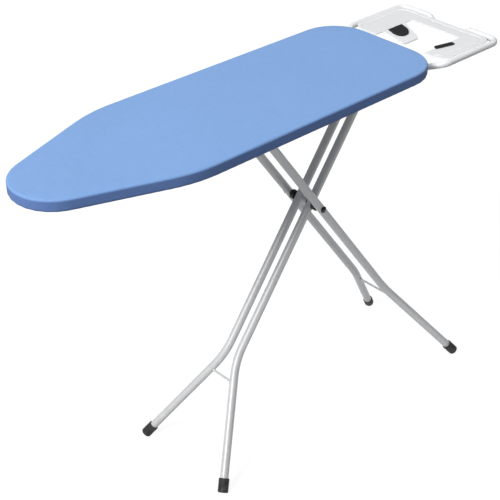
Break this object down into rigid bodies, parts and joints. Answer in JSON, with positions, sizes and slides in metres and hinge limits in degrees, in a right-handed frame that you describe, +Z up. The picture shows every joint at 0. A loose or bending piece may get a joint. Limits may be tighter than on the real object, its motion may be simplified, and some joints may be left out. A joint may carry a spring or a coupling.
{
  "type": "ironing board",
  "caption": "Folding ironing board: padded pointed board on crossed tube legs that fold flat, with a height lever and an iron rest at the tail.",
  "frame": {"origin": "on the floor, under the middle of the overall box", "axes": "+Z up; X along the board, the nose at -X and the iron rest at +X; Y across the board"},
  "size_m": [1.2018, 0.3388, 0.86],
  "materials": {
    "cotton_cover": "woven blue cotton",
    "felt_pad": "needled felt",
    "grey_paint": "light grey powder coat on steel tube",
    "white_paint": "white powder coat on steel",
    "zinc": "bright zinc plate",
    "dark_steel": "black oxide",
    "black_plastic": "fine texture",
    "black_rubber": "matte"
  },
  "bodies": {
    "board": {"cover": "cotton_cover", "pad": "felt_pad", "mesh_top": "grey_paint", "rim_tube": "grey_paint", "strap_front": "grey_paint", "strap_middle": "grey_paint", "strap_hinge": "grey_paint", "rail_near": "zinc", "rail_far": "zinc", "hinge_bracket_near": "zinc", "hinge_bracket_far": "zinc", "hinge_pin": "zinc", "latch_bracket": "zinc", "latch_pin": "zinc", "latch_spring": "zinc", "rest_tube": "white_paint", "rest_plate": "white_paint", "heel_pad": "black_rubber", "rest_strip": "black_rubber", "rest_saddle_near": "black_plastic", "rest_saddle_far": "black_plastic", "rest_screw_near": "zinc", "rest_screw_far": "zinc"},
    "inner_leg": {"inner_tube_near": "grey_paint", "inner_tube_far": "grey_paint", "inner_foot_near": "black_rubber", "inner_foot_far": "black_rubber", "inner_brace": "grey_paint", "hinge_tube": "grey_paint", "hinge_bush_near": "black_plastic", "hinge_bush_far": "black_plastic", "cross_sleeve": "grey_paint"},
    "outer_leg": {"outer_tube_near": "grey_paint", "outer_tube_far": "grey_paint", "outer_foot_near": "black_rubber", "outer_foot_far": "black_rubber", "outer_brace": "grey_paint", "slide_bar": "grey_paint", "slide_bush_near": "black_plastic", "slide_bush_far": "black_plastic", "cross_spacer_near": "black_plastic", "cross_spacer_far": "black_plastic", "cross_washer_near": "black_plastic", "cross_washer_far": "black_plastic", "cross_bolt": "dark_steel", "cross_nut": "dark_steel"},
    "height_lever": {"latch_bar": "zinc", "lever_rod": "zinc", "lever_grip": "black_plastic"}
  },
  "joints": [
    {"name": "leg_fold", "type": "hinge", "parent": "board", "child": "inner_leg", "pos_m": [0.3112, 0, 0.8], "axis": [0, 1, 0], "range_deg": [0, 51.4]},
    {"name": "leg_cross", "type": "hinge", "parent": "inner_leg", "child": "outer_leg", "pos_m": [0.13157, 0, 0.5491], "axis": [0, 1, 0], "range_deg": [-102.82, 0]},
    {"name": "lever_squeeze", "type": "hinge", "parent": "board", "child": "height_lever", "pos_m": [0.02195, 0, 0.815], "axis": [0, 1, 0], "range_deg": [0, 3.2], "stiffness_Nm_per_rad": 8, "springref_deg": -2.86, "deforming": ["latch_spring"]}
  ],
  "couplings": [
    {"joint": "leg_cross", "follows": "leg_fold", "ratio": -2}
  ]
}
